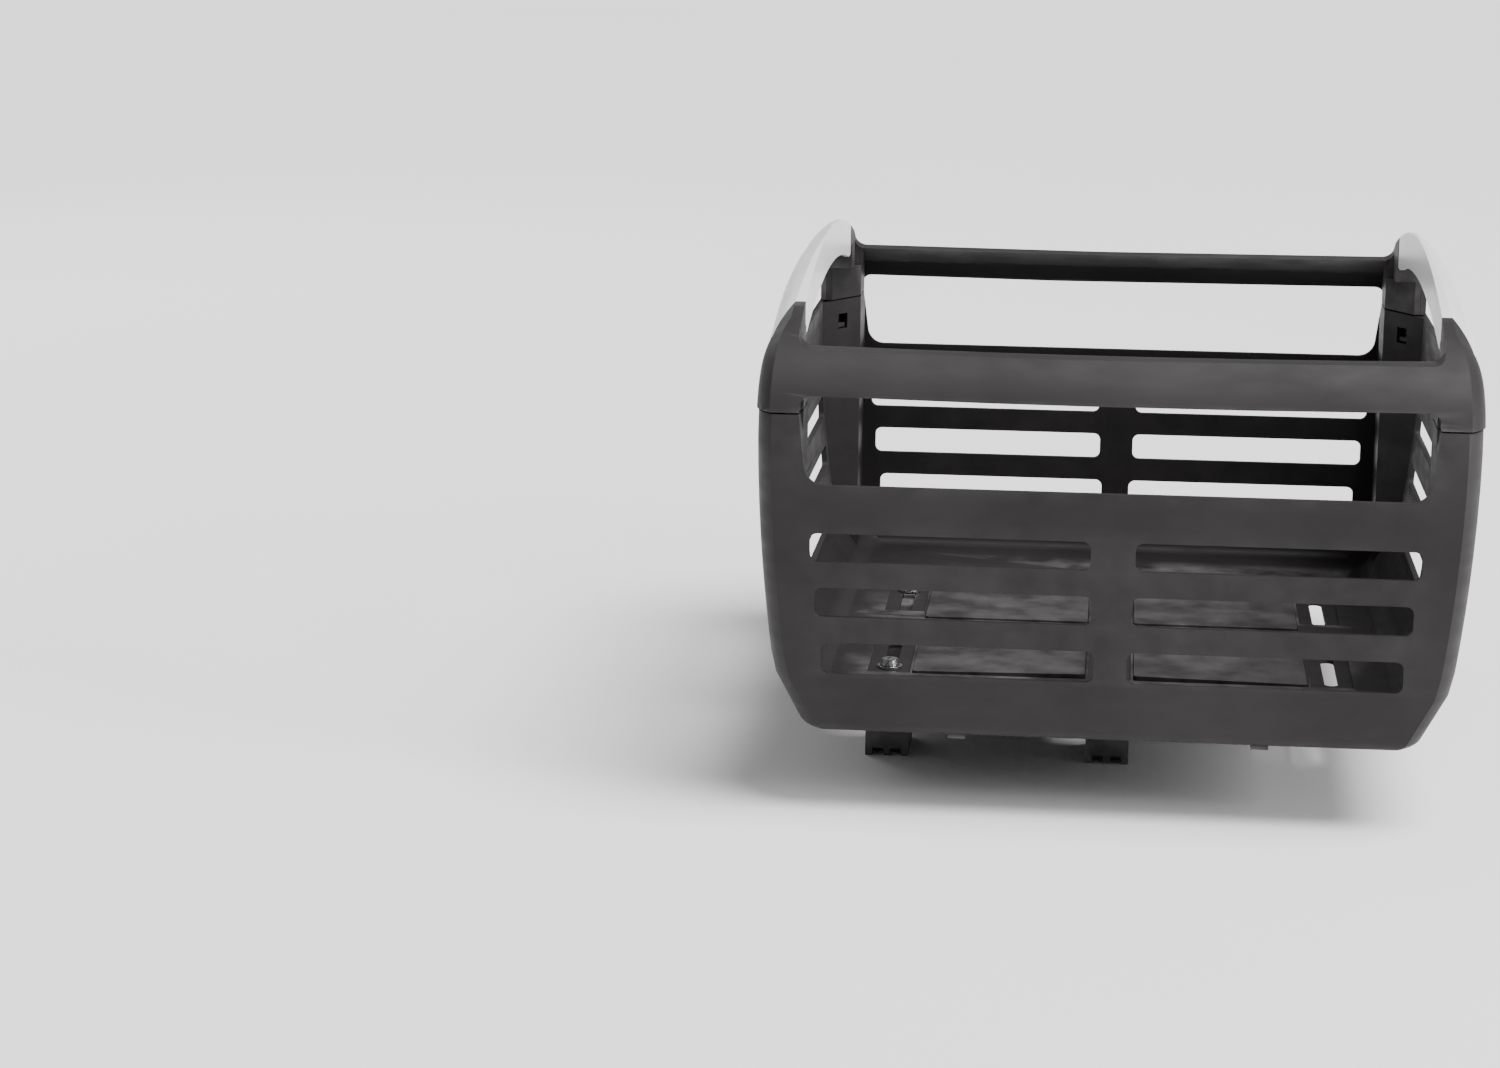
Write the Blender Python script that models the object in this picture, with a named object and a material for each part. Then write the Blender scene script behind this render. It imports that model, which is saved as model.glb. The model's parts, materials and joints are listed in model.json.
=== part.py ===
"""Crate-type bicycle rack basket: a slotted tub, a curved rim frame with arched hand grips, and four
clamps that hold a rack's side tubes. Written in millimetres and turned into metres when meshes are made.
X runs fore and aft, Y across the bicycle, Z up; the origin is on the ground under the middle."""

import math

import bmesh
import bpy
from mathutils import Matrix, Vector

MM = 0.001
GAP = 0.3  # clearance between touching pieces

# Outer body. Heights in this block are measured from the tub's bottom edge.
TUB_BASE = 39.5  # the tub's bottom edge above the ground, set by the clamp feet
HALF_DEPTH = 201.5  # half of the width across the bicycle, at the spring of the rim's arch
SPRING = 130.0  # where the wall starts to curve inwards
CROWN = 209.0  # top of the hand grips
CROWN_RADIUS = 600.0
WALL_BARREL = 5.5 / SPRING**2  # the long walls draw in by 5.5 at the bottom edge
END_HALF = 164.6  # half length at the corners, at the fullest height
END_FULLEST = 145.0
END_BARREL = 0.00059
CHAMFER_TOP = 28.0  # below this height the end walls slope in more steeply
BOTTOM_HALF = 141.8
END_BULGE = 2.2  # how far an end wall bows out at mid width
CORNER_RADIUS = 20.0
CORNER_START = math.radians(40)  # the corner curve starts at this angle, which leaves a crease
CORNER_STEPS = 4
SEAM = 150.0
SEAM_GAP = 0.8  # the dark line between tub and rim frame
WALL = 3.0
FLOOR_TOP = 3.0

# Rim frame, in the same heights
GRIP_NARROWING = 10.3  # the crease moves this far in between the seam and the crown
GRIP_RADIUS_GAIN = 7.0
GRIP_START_LOSS = math.radians(10)
BAND_DEPTH = 50.0
RAIL_BOTTOM = 158.3
RAIL_TOP = 177.0
OVER_RAIL_HALF = 147.8  # half length of the opening above a rail, between the horns
UNDER_RAIL_HALF = 145.0
BEAD_HALF = 143.2  # half length of the stiffening bead inside a rail
OPENING_FROM = 188.0  # the openings beside the rails are cut from here outwards in y
POST_INNER = 143.8
HORN_TIP_X = 148.0
HORN_TIP_Y = 137.0
HORN_TIP_WIDTH = 5.0  # the blunt end of each horn
GRIP_UNDERSIDE = 190.0  # at mid width
GRIP_UNDERSIDE_DROP = 0.8 / 1000.0  # it falls by this times y squared
GRIP_UNDERSIDE_END = 177.2  # and runs level at this height near its ends
HOLE_HALF = 142.0
COVER_SKIN = 2.6
COVER_END = 0.35  # arch angles at which the covers' and the beams' blanks start
CORE_END = 0.62
END_SLANT = 1.85  # the covers' slanting ends: this far in y for each step in x
CAVITY_TOP = 168.0
RAIL_SAG = 1.2
BEAD_DEPTH = 8.0
BEAD_BOTTOM = 168.5

# Corner posts: the slanting inner face in plan, for the corner at +X +Y
POST_END = Vector((161.5, 137.0))
POST_SIDE = Vector((POST_INNER, 163.0))
POST_WALL = 2.5
WINDOW_LOW, WINDOW_HIGH, WINDOW_HALF = 133.8, 142.2, 4.0
BLADE_START, BLADE_END = 5.4, 7.2  # how far behind the window's face each snap tongue hangs
NIB_START, NIB_MARGIN, NIB_HEIGHT = 1.2, 0.8, 2.2  # its nib, which catches the window's lower edge

# Slots: (bottom, top, outer end, mullion half width) of each row in the long walls
SIDE_ROWS = ((82.0, 95.5, 139.2, 10.2), (55.8, 69.8, 136.6, 9.2), (28.4, 43.4, 133.4, 7.6))
END_ROWS = ((87.0, 99.3), (60.0, 71.8), (30.5, 43.5))
END_SLOT_INNER, END_SLOT_OUTER = 10.0, 132.5
SLOT_CORNER = 3.6
BAND_TOP = 118.0
BAND_TOP_HALF = 141.0  # half length of the opening above the band, at its bottom
LUG_X, LUG_Y = (66.0, 74.0), (187.0, 193.0)  # small feet under the long walls

# Floor stations
STATION_X = (-108.5, 0.0, 108.5)
STATION_HALF = 10.4
STATION_Y = (33.0, 95.0)
STATION_SINK = 1.0
SLOT_Y = (36.0, 88.0)
SLOT_HALF = 3.4
PLATE_X = (12.0, 96.4)
PLATE_Y = (18.0, 95.0)
PLATE_SINK = 1.2
PLATE_WEDGE = 5.0
PLATE_TOP = 4.0

# Clamps
CLAMP_X = {"rear": -108.5, "mid": 0.0}
BOLT_Y = 82.0
JAW_Y = (62.0, 97.0)
JAW_HALF = 10.6
JAW_CORNER = 1.2
JAW_SPLIT = 15.5  # height above the ground where the two jaws meet
TUBE_Y = 70.0
TUBE_RADIUS = 5.0
BOLT_RADIUS = 2.5
BOLT_HOLE = 3.0
BOLT_END = 1.0
HEAD_RADIUS, HEAD_HEIGHT = 5.0, 3.0
WASHER_RADIUS, WASHER_HEIGHT = 6.2, 1.0
NUT_RADIUS, NUT_LOW, NUT_HIGH = 4.6, 8.0, 12.0
NUT_POCKET = 5.1
NOTCH_X = (1.7, 7.1)
NOTCH_TOP = 4.0
NOTCH_LENGTH = 8.0
KEY_Y = (74.5, 78.5)
KEY_HALF = 3.0

# Screws that hold each hand grip cover from below
SCREW_Y = 100.0
SCREW_X = 157.0
SCREW_SHANK, SCREW_HEAD = 1.25, 3.0
BOSS_RADIUS = 3.7
SCREW_LOW, SCREW_TOP = 183.2, 190.5
BOSS_LOW, BOSS_TOP = 187.3, 193.0

COLOURS = {
    "charcoal": ((0.045, 0.043, 0.045), 0.62, 0.0),
    "black": ((0.020, 0.020, 0.021), 0.55, 0.0),
    "silver_grey": ((0.62, 0.63, 0.64), 0.38, 0.0),
    "dark_grey": ((0.032, 0.032, 0.035), 0.60, 0.0),
    "steel": ((0.56, 0.56, 0.58), 0.25, 1.0),
    "black_steel": ((0.03, 0.03, 0.03), 0.45, 0.6),
}

PARTS = bpy.data.collections.new("rack_basket")
CUTTERS = bpy.data.collections.new("cutters")


# ---------------------------------------------------------------- outer body

def shoulder_radius():
    rise = CROWN - SPRING
    top = 2 * CROWN_RADIUS * rise - rise**2 - HALF_DEPTH**2
    return top / (2 * (CROWN_RADIUS - HALF_DEPTH))


SHOULDER_RADIUS = shoulder_radius()
SHOULDER_Y = HALF_DEPTH - SHOULDER_RADIUS
CROWN_CENTRE = CROWN - CROWN_RADIUS
JOIN = math.atan2(SPRING - CROWN_CENTRE, SHOULDER_Y)  # angle where shoulder and crown arcs meet


def arch_point(angle, depth):
    """(y, z) on the rim's arch, `depth` below its surface. The angle runs from 0 at -Y to pi at +Y."""
    out = Vector((-math.cos(angle), math.sin(angle)))
    if angle < JOIN:
        return Vector((-SHOULDER_Y, SPRING)) + out * (SHOULDER_RADIUS - depth)
    if angle > math.pi - JOIN:
        return Vector((SHOULDER_Y, SPRING)) + out * (SHOULDER_RADIUS - depth)
    return Vector((0, CROWN_CENTRE)) + out * (CROWN_RADIUS - depth)


def arch_angles(low=0.0, high=math.pi, shoulder_steps=7, crown_steps=8):
    """Angles along the arch, closer together where it turns sharply."""
    shoulder = [JOIN * i / shoulder_steps for i in range(shoulder_steps)]
    crown = [JOIN + (math.pi - 2 * JOIN) * i / crown_steps for i in range(crown_steps + 1)]
    angles = shoulder + crown + [math.pi - a for a in reversed(shoulder)]
    return [low] + [a for a in angles if low + 1e-4 < a < high - 1e-4] + [high]


def bulge(y):
    return END_BULGE * (1 - (y / HALF_DEPTH) ** 2)


def corner(crease, radius, start, skin=0.0):
    """(x, depth) along the corner curve, from the crease to the end wall, `skin` inside the surface."""
    centre_x = crease - radius * math.sin(start)
    centre_depth = radius * math.cos(start)
    begin = math.acos((centre_depth - skin) / (radius - skin))
    turns = [begin + (math.pi / 2 - begin) * i / CORNER_STEPS for i in range(CORNER_STEPS + 1)]
    return [
        (centre_x + (radius - skin) * math.sin(t), centre_depth - (radius - skin) * math.cos(t))
        for t in turns
    ]


def rim_corner(angle, skin=0.0):
    rise = (1 - abs(math.cos(angle))) ** 2
    return corner(
        END_HALF - CORNER_RADIUS * (1 - math.sin(CORNER_START)) + 1.3 - GRIP_NARROWING * rise,
        CORNER_RADIUS + GRIP_RADIUS_GAIN * rise,
        CORNER_START - GRIP_START_LOSS * rise,
        skin,
    )


def end_half(height):
    """Half length of the tub at its corners."""
    if height >= CHAMFER_TOP:
        return END_HALF - END_BARREL * (END_FULLEST - min(height, END_FULLEST)) ** 2
    at_chamfer = END_HALF - END_BARREL * (END_FULLEST - CHAMFER_TOP) ** 2
    return BOTTOM_HALF + (at_chamfer - BOTTOM_HALF) * height / CHAMFER_TOP


def half_depth(height):
    if height > SPRING:
        return SHOULDER_Y + math.sqrt(SHOULDER_RADIUS**2 - (height - SPRING) ** 2)
    return HALF_DEPTH - WALL_BARREL * (SPRING - height) ** 2


def tub_ring(height, inset=0.0):
    """The tub's outline in plan at one height, anticlockwise from the corner at +X -Y."""
    crease = end_half(height) - CORNER_RADIUS * (1 - math.sin(CORNER_START))
    side = [(x, depth - half_depth(height)) for x, depth in corner(crease, CORNER_RADIUS, CORNER_START)]
    side += [(end_half(height), y) for y in (-120.0, -60.0)]
    right = side + [(end_half(height), 0.0)] + [(x, -y) for x, y in reversed(side)]
    right = [(x - inset + bulge(y), y - math.copysign(inset, y) * (y != 0)) for x, y in right]
    return right + [(-x, -y) for x, y in right]


# ---------------------------------------------------------------- modelling helpers

def material(name):
    found = bpy.data.materials.get(name)
    if found:
        return found
    made = bpy.data.materials.new(name)
    made.use_nodes = True
    shader = made.node_tree.nodes["Principled BSDF"]
    colour, roughness, metallic = COLOURS[name]
    shader.inputs["Base Color"].default_value = (*colour, 1)
    shader.inputs["Roughness"].default_value = roughness
    shader.inputs["Metallic"].default_value = metallic
    made.diffuse_color = (*colour, 1)
    return made


def place(name, mesh, look=None, origin=(0, 0, 0)):
    """An object for a mesh whose points are in millimetres, with its origin at `origin`."""
    mesh.transform(Matrix.Translation(-Vector(origin)))
    mesh.transform(Matrix.Scale(MM, 4))
    obj = bpy.data.objects.new(name, mesh)
    obj.location = Vector(origin) * MM
    if look:
        mesh.materials.append(material(look))
        PARTS.objects.link(obj)
    else:
        CUTTERS.objects.link(obj)
        obj.display_type = "WIRE"
        obj.hide_render = True
    return obj


def mesh_of(name, bm):
    bmesh.ops.recalc_face_normals(bm, faces=bm.faces)
    if bm.calc_volume(signed=True) < 0:
        bmesh.ops.reverse_faces(bm, faces=bm.faces)
    mesh = bpy.data.meshes.new(name)
    bm.to_mesh(mesh)
    bm.free()
    return mesh


def box(name, low, high, look=None, turn=None):
    bm = bmesh.new()
    bmesh.ops.create_cube(bm, size=1)
    low, high = Vector(low), Vector(high)
    matrix = Matrix.Translation((low + high) / 2) @ Matrix.Diagonal((*(high - low), 1))
    bm.transform((turn or Matrix()) @ matrix)
    return place(name, mesh_of(name, bm), look)


def sorted_box(one, other):
    """The low and the high corner of a box given by any two opposite corners."""
    pairs = [sorted(pair) for pair in zip(one, other)]
    return tuple(p[0] for p in pairs), tuple(p[1] for p in pairs)


def cylinder(
    name, radius, low, high, axis="Z", at=(0, 0), look=None, sides=24, top_radius=None, origin=(0, 0, 0)
):
    """A cylinder, cone or hexagon from `low` to `high` along an axis.
    `at` is its place on the other two axes."""
    bm = bmesh.new()
    bmesh.ops.create_cone(
        bm,
        cap_ends=True,
        segments=sides,
        radius1=radius,
        radius2=radius if top_radius is None else top_radius,
        depth=high - low,
    )
    bm.transform(Matrix.Translation((0, 0, (low + high) / 2)))
    if axis == "X":
        bm.transform(Matrix.Rotation(math.pi / 2, 4, "Y"))
        bm.transform(Matrix.Translation((0, *at)))
    else:
        bm.transform(Matrix.Translation((*at, 0)))
    return place(name, mesh_of(name, bm), look, origin)


def rounded(corners, radius, steps=3):
    """A closed outline with its corners rounded; `radius` is one number, or one for each corner."""
    radii = radius if isinstance(radius, (list, tuple)) else [radius] * len(corners)
    outline = []
    for i, here in enumerate(corners):
        here = Vector(here)
        before = (Vector(corners[i - 1]) - here).normalized()
        after = (Vector(corners[(i + 1) % len(corners)]) - here).normalized()
        if radii[i] == 0:
            outline.append(tuple(here))
            continue
        half = before.angle(after) / 2
        centre = here + (before + after).normalized() * radii[i] / math.sin(half)
        start = (here + before * radii[i] / math.tan(half) - centre).normalized()
        end = (here + after * radii[i] / math.tan(half) - centre).normalized()
        for j in range(steps + 1):
            outline.append(tuple(centre + start.slerp(end, j / steps) * radii[i]))
    return outline


def prism(name, outline, axis, low, high, look=None, origin=(0, 0, 0)):
    """A flat outline given a thickness: (y, z) along X, (x, z) along Y or (x, y) along Z."""
    curve = bpy.data.curves.new(name, "CURVE")
    curve.dimensions = "2D"
    curve.fill_mode = "BOTH"
    curve.extrude = (high - low) / 2
    spline = curve.splines.new("POLY")
    spline.points.add(len(outline) - 1)
    spline.use_cyclic_u = True
    for point, (x, y) in zip(spline.points, outline):
        point.co = (x, y, 0, 1)
    holder = bpy.data.objects.new(name, curve)
    bpy.context.scene.collection.objects.link(holder)
    bpy.context.view_layer.update()
    mesh = bpy.data.meshes.new_from_object(holder.evaluated_get(bpy.context.evaluated_depsgraph_get()))
    bpy.data.objects.remove(holder)
    bpy.data.curves.remove(curve)
    bm = bmesh.new()
    bm.from_mesh(mesh)
    bpy.data.meshes.remove(mesh)
    bmesh.ops.remove_doubles(bm, verts=bm.verts, dist=0.001)
    middle = (low + high) / 2
    turns = {
        "X": Matrix(((0, 0, 1, middle), (1, 0, 0, 0), (0, 1, 0, 0), (0, 0, 0, 1))),
        "Y": Matrix(((1, 0, 0, 0), (0, 0, -1, middle), (0, 1, 0, 0), (0, 0, 0, 1))),
        "Z": Matrix.Translation((0, 0, middle)),
    }
    bm.transform(turns[axis])
    return place(name, mesh_of(name, bm), look, origin)


def loft(name, rings, look=None, raise_by=0.0):
    """A skin through rings of equal length, with flat ends."""
    bm = bmesh.new()
    rows = [[bm.verts.new((x, y, z + raise_by)) for x, y, z in ring] for ring in rings]
    for lower, upper in zip(rows, rows[1:]):
        for i, start in enumerate(lower):
            j = (i + 1) % len(lower)
            bm.faces.new((start, lower[j], upper[j], upper[i]))
    bm.faces.new(rows[0])
    bm.faces.new(rows[-1])
    bmesh.ops.triangulate(bm, faces=bm.faces)
    return place(name, mesh_of(name, bm), look)


def combine(obj, others, operation="DIFFERENCE"):
    for other in others:
        modifier = obj.modifiers.new(other.name, "BOOLEAN")
        modifier.operation = operation
        modifier.object = other
        modifier.solver = "EXACT"


def above_ground(low, high):
    """Heights measured from the tub's bottom edge, as heights above the ground."""
    return low + TUB_BASE, high + TUB_BASE


# ---------------------------------------------------------------- tub

def side_slots():
    for row, (bottom, top, outer, inner) in enumerate(SIDE_ROWS):
        low, high = above_ground(bottom, top)
        for side in (-1, 1):
            corners = [(side * inner, low), (side * outer, low), (side * outer, high), (side * inner, high)]
            yield prism(f"cut_side_slot_{row}_{side}", rounded(corners, SLOT_CORNER), "Y", -230, 230)


def end_slots():
    for row, (bottom, top) in enumerate(END_ROWS):
        low, high = above_ground(bottom, top)
        for side in (-1, 1):
            inner, outer = side * END_SLOT_INNER, side * END_SLOT_OUTER
            corners = [(inner, low), (outer, low), (outer, high), (inner, high)]
            yield prism(f"cut_end_slot_{row}_{side}", rounded(corners, SLOT_CORNER), "X", -180, 180)


def through_long_walls(name, outline):
    """The same cut through both long walls, which leaves the posts' inner faces whole."""
    return [
        prism(name + "_right", outline, "Y", -230, -OPENING_FROM),
        prism(name + "_left", outline, "Y", OPENING_FROM, 230),
    ]


def side_openings():
    """The gaps between the long walls' bands and the rails, wider upwards and open at the seam."""
    low, high = above_ground(BAND_TOP, SEAM)
    above = high + 20
    half = UNDER_RAIL_HALF + 20 * (UNDER_RAIL_HALF - BAND_TOP_HALF) / (SEAM - BAND_TOP)
    corners = [(-BAND_TOP_HALF, low), (BAND_TOP_HALF, low), (half, above), (-half, above)]
    return through_long_walls("cut_side_opening", rounded(corners, [9, 9, 0, 0], 4))


def floor_cuts():
    floor = TUB_BASE + FLOOR_TOP
    for x in STATION_X:
        for side in (-1, 1):
            y_low, y_high = sorted(side * y for y in STATION_Y)
            yield box(
                f"cut_station_{x:.0f}_{side}",
                (x - STATION_HALF, y_low, floor - STATION_SINK),
                (x + STATION_HALF, y_high, floor + 5),
            )
            low, high = sorted(side * y for y in SLOT_Y)
            corners = [
                (x - SLOT_HALF, low), (x + SLOT_HALF, low), (x + SLOT_HALF, high), (x - SLOT_HALF, high)
            ]
            ends = rounded(corners, SLOT_HALF - 0.05, 4)
            yield prism(f"cut_bolt_slot_{x:.0f}_{side}", ends, "Z", TUB_BASE - 5, floor + 5)
    for x_side in (-1, 1):
        for y_side in (-1, 1):
            x_low, x_high = sorted(x_side * x for x in PLATE_X)
            y_low, y_high = sorted(y_side * y for y in PLATE_Y)
            yield box(
                f"cut_plate_seat_{x_side}_{y_side}",
                (x_low - GAP, y_low - GAP, floor - PLATE_SINK),
                (x_high + GAP, y_high + GAP, floor + 5),
            )


def post_walls(low, high):
    """The slanting and the straight inner wall of each corner post, as one bent plate in plan."""
    along = (POST_SIDE - POST_END).normalized()
    out = Vector((-along.y, along.x)) * -POST_WALL
    start = POST_END - along * 6
    inner = [start, POST_SIDE, Vector((POST_INNER, HALF_DEPTH))]
    outer = [Vector((POST_INNER + POST_WALL, HALF_DEPTH)), POST_SIDE + Vector((POST_WALL, 1.2)), start + out]
    outline = [tuple(p) for p in inner + outer]
    for x_side in (-1, 1):
        for y_side in (-1, 1):
            points = [(x_side * x, y_side * y) for x, y in outline]
            yield prism(f"post_{x_side}_{y_side}", points, "Z", low, high)


def diagonal_box(name, x_side, y_side, across, normal, heights):
    """A box set square to a corner post's slanting face: across it, out from it, and in height."""
    along = (POST_SIDE - POST_END).normalized()
    middle = (POST_SIDE + POST_END) / 2
    turned = Matrix.Rotation(math.atan2(along.y, along.x), 4, "Z")
    turn = Matrix.Diagonal((x_side, y_side, 1, 1)) @ Matrix.Translation((*middle, 0)) @ turned
    return box(name, (across[0], -normal[1], heights[0]), (across[1], -normal[0], heights[1]), turn=turn)


def lugs():
    """Small feet under the long walls."""
    low, high = above_ground(-2.0, 1.5)
    made = []
    for x_side in (-1, 1):
        for y_side in (-1, 1):
            inner = (x_side * LUG_X[0], y_side * LUG_Y[0], low)
            outer = (x_side * LUG_X[1], y_side * LUG_Y[1], high)
            made.append(box(f"lug_{x_side}_{y_side}", *sorted_box(inner, outer)))
    return made


def make_tub():
    heights = [0.0, 3.0, 10.0, 19.0, CHAMFER_TOP, 45.0, 62.0, 80.0, 100.0, 125.0, SEAM + 3]
    rings = [[(x, y, h) for x, y in tub_ring(h)] for h in heights]
    rings[0] = [(x * 0.985, y * 0.99, 0.0) for x, y, _ in rings[0]]
    tub = loft("tub", rings, "charcoal", raise_by=TUB_BASE)

    def inside(name, inset, bottom):
        levels = [bottom, *heights[2:-1], SEAM + 6]
        inner_rings = [[(x, y, h) for x, y in tub_ring(h, inset)] for h in levels]
        return loft(name, inner_rings, raise_by=TUB_BASE)

    combine(tub, [inside("cut_inside", WALL, FLOOR_TOP)])
    post_limit = inside("post_limit", 1.0, FLOOR_TOP - 1.5)
    posts = list(post_walls(*above_ground(1.5, SEAM + 2)))
    for post in posts:
        combine(post, [post_limit], "INTERSECT")
    combine(tub, posts + lugs(), "UNION")
    window_low, window_high = above_ground(WINDOW_LOW, WINDOW_HIGH)
    windows = [
        diagonal_box(
            f"cut_window_{x_side}_{y_side}", x_side, y_side,
            (-WINDOW_HALF, WINDOW_HALF), (-2, POST_WALL + 2), (window_low, window_high),
        )
        for x_side in (-1, 1)
        for y_side in (-1, 1)
    ]
    lid = box("cut_above_seam", (-200, -230, TUB_BASE + SEAM), (200, 230, TUB_BASE + SEAM + 20))
    combine(tub, [lid, *side_openings(), *side_slots(), *end_slots(), *floor_cuts(), *windows])
    return tub


# ---------------------------------------------------------------- rim frame and hand grip covers

def band(name, skin=0.0, depth=BAND_DEPTH, low=0.0, high=math.pi):
    """The solid band that follows the arch across the whole basket, `skin` inside its outer surface."""
    rings = []
    for angle in arch_angles(low, high):
        y_here = arch_point(angle, 0).x
        curve = rim_corner(angle, skin)
        crease, end = curve[0][0], curve[-1][0]
        bow = bulge(y_here)
        half = [(x + bow * (x - crease) / (end - crease), d) for x, d in curve]
        half.append((half[-1][0], depth))
        across = half + [(-x, d) for x, d in reversed(half)]
        rings.append([(x, *arch_point(angle, d)) for x, d in across])
    return loft(name, rings, raise_by=TUB_BASE)


def grip_underside(y):
    return max(GRIP_UNDERSIDE - GRIP_UNDERSIDE_DROP * y**2, GRIP_UNDERSIDE_END)


def hand_hole(raise_by=0.0, steps=10):
    """The opening under both hand grips, as one cut from end to end."""
    ys = [HOLE_HALF * (2 * i / steps - 1) for i in range(steps + 1)]
    arc = [(y, TUB_BASE + grip_underside(y) + raise_by) for y in ys]
    outline = arc + [(HOLE_HALF, TUB_BASE + SEAM - 5), (-HOLE_HALF, TUB_BASE + SEAM - 5)]
    return prism("cut_hand_hole", outline, "X", -200, 200)


def cover_space(name, side, grow):
    """The space a hand grip cover fills, before it is trimmed to the band's outer surface."""
    ys = [HALF_DEPTH * (i / 6 - 1) for i in range(13)]
    arc = [(y, TUB_BASE + grip_underside(y) - grow) for y in ys]
    above = arc + [(HALF_DEPTH, TUB_BASE + 260), (-HALF_DEPTH, TUB_BASE + 260)]
    space = prism(name, above, "X", *sorted((side * 140, side * 200)))
    blunt = HORN_TIP_X + HORN_TIP_WIDTH
    slant_grow = grow * math.hypot(1, END_SLANT)
    turn_x = blunt - (slant_grow - grow) / END_SLANT
    half = [
        (side * (HORN_TIP_X - grow), HORN_TIP_Y + grow),
        (side * turn_x, HORN_TIP_Y + grow),
        (side * 200, HORN_TIP_Y + END_SLANT * (200 - blunt) + slant_grow),
    ]
    outline = half + [(x, -y) for x, y in reversed(half)]
    plan = prism(name + "_plan", outline, "Z", TUB_BASE + 140, TUB_BASE + 270)
    combine(space, [plan], "INTERSECT")
    return space


def grip_core(name, side, shrink):
    """What is inside a cover's skin: open below and at both ends."""
    core = band(name, skin=COVER_SKIN + shrink, low=CORE_END, high=math.pi - CORE_END)
    inner = HORN_TIP_X + COVER_SKIN + shrink
    keep = box(name + "_side", *sorted_box((side * inner, -230, 0), (side * 200, 230, 400)))
    combine(core, [keep], "INTERSECT")
    return core


def show(obj, look):
    """Makes a helper shape one of the object's parts."""
    CUTTERS.objects.unlink(obj)
    PARTS.objects.link(obj)
    obj.hide_render = False
    obj.display_type = "TEXTURED"
    obj.data.materials.append(material(look))
    return obj


def make_cover(side, name):
    cover = show(band(name, low=COVER_END, high=math.pi - COVER_END), "silver_grey")
    combine(cover, [cover_space(f"space_{name}", side, 0.0)], "INTERSECT")
    combine(cover, [grip_core(f"core_{name}", side, 0.0)])
    boss_heights = above_ground(BOSS_LOW, BOSS_TOP)
    pilot_heights = above_ground(BOSS_LOW - 5, SCREW_TOP + 0.5)
    bosses, pilots = [], []
    for y in (-SCREW_Y, SCREW_Y):
        at = (side * SCREW_X, y)
        bosses.append(cylinder(f"boss_{name}_{y:.0f}", BOSS_RADIUS, *boss_heights, at=at, sides=16))
        pilots.append(cylinder(f"pilot_{name}_{y:.0f}", SCREW_SHANK + GAP, *pilot_heights, at=at, sides=12))
    combine(cover, bosses, "UNION")
    combine(cover, pilots)


def make_handle_screw(side, y):
    """A screw from below, and the stepped hole it and the cover's boss need in the beam."""
    name = f"handle_screw_{'front' if side > 0 else 'rear'}_{'left' if y > 0 else 'right'}"
    at = (side * SCREW_X, y)
    low, top = above_ground(SCREW_LOW, SCREW_TOP)
    screw = cylinder(name, SCREW_HEAD, low, low + 1.7, at=at, look="steel", sides=16)
    combine(screw, [cylinder(name + "_shank", SCREW_SHANK, low + 1, top, at=at, sides=12)], "UNION")
    web_low, web_high = above_ground(SCREW_LOW + 2.0, BOSS_LOW - GAP)
    return [
        cylinder(f"cut_{name}_head", SCREW_HEAD + 0.4, web_low - 10, web_low, at=at, sides=16),
        cylinder(f"cut_{name}_shank", SCREW_SHANK + 0.4, web_low - 10, web_high + 10, at=at, sides=12),
        cylinder(f"cut_{name}_boss", BOSS_RADIUS + 0.4, web_high, web_high + 20, at=at, sides=16),
    ]


def frame_cavity(x_side, y_side):
    """The hollow inside a corner post of the rim frame, open at the seam."""
    along = (POST_SIDE - POST_END).normalized()
    start = POST_END - along * 3 - Vector((-along.y, along.x)) * POST_WALL
    turn = POST_SIDE + Vector((POST_WALL, 1.2))
    plan = [tuple(start), tuple(turn), (turn.x, 230.0), (230.0, 230.0), (230.0, start.y)]
    outline = [(x_side * x, y_side * y) for x, y in plan]
    cavity = prism(f"cut_post_{x_side}_{y_side}", outline, "Z", *above_ground(SEAM - 5, CAVITY_TOP))
    combine(cavity, [band(f"post_room_{x_side}_{y_side}", skin=WALL, depth=BAND_DEPTH + 8)], "INTERSECT")
    return cavity


def tongue(x_side, y_side):
    """A snap tongue that hangs into the tub's post, with its nib in the latch window."""
    name = f"tongue_{x_side}_{y_side}"
    blade_heights = above_ground(WINDOW_LOW - 3, SEAM + 2)
    root_heights = above_ground(SEAM + SEAM_GAP + 0.5, SEAM + 5)
    nib_heights = above_ground(WINDOW_LOW + NIB_MARGIN, WINDOW_LOW + NIB_MARGIN + NIB_HEIGHT)
    nib_half = WINDOW_HALF - NIB_MARGIN
    blade = ((-4.5, 4.5), (BLADE_START, BLADE_END), blade_heights)
    root = ((-5.5, 5.5), (1.0, BLADE_END + 0.4), root_heights)
    nib = ((-nib_half, nib_half), (NIB_START, BLADE_START + 0.5), nib_heights)
    return [
        diagonal_box(name + ending, x_side, y_side, *sizes)
        for ending, sizes in (("", blade), ("_root", root), ("_nib", nib))
    ]


def sagging(height, reach, steps=8):
    """(x, z) points of a rail's edge, a little lower in the middle."""
    xs = [reach * (1 - 2 * i / steps) for i in range(steps + 1)]
    return [(x, TUB_BASE + height - RAIL_SAG * (1 - (x / reach) ** 2)) for x in xs]


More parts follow.
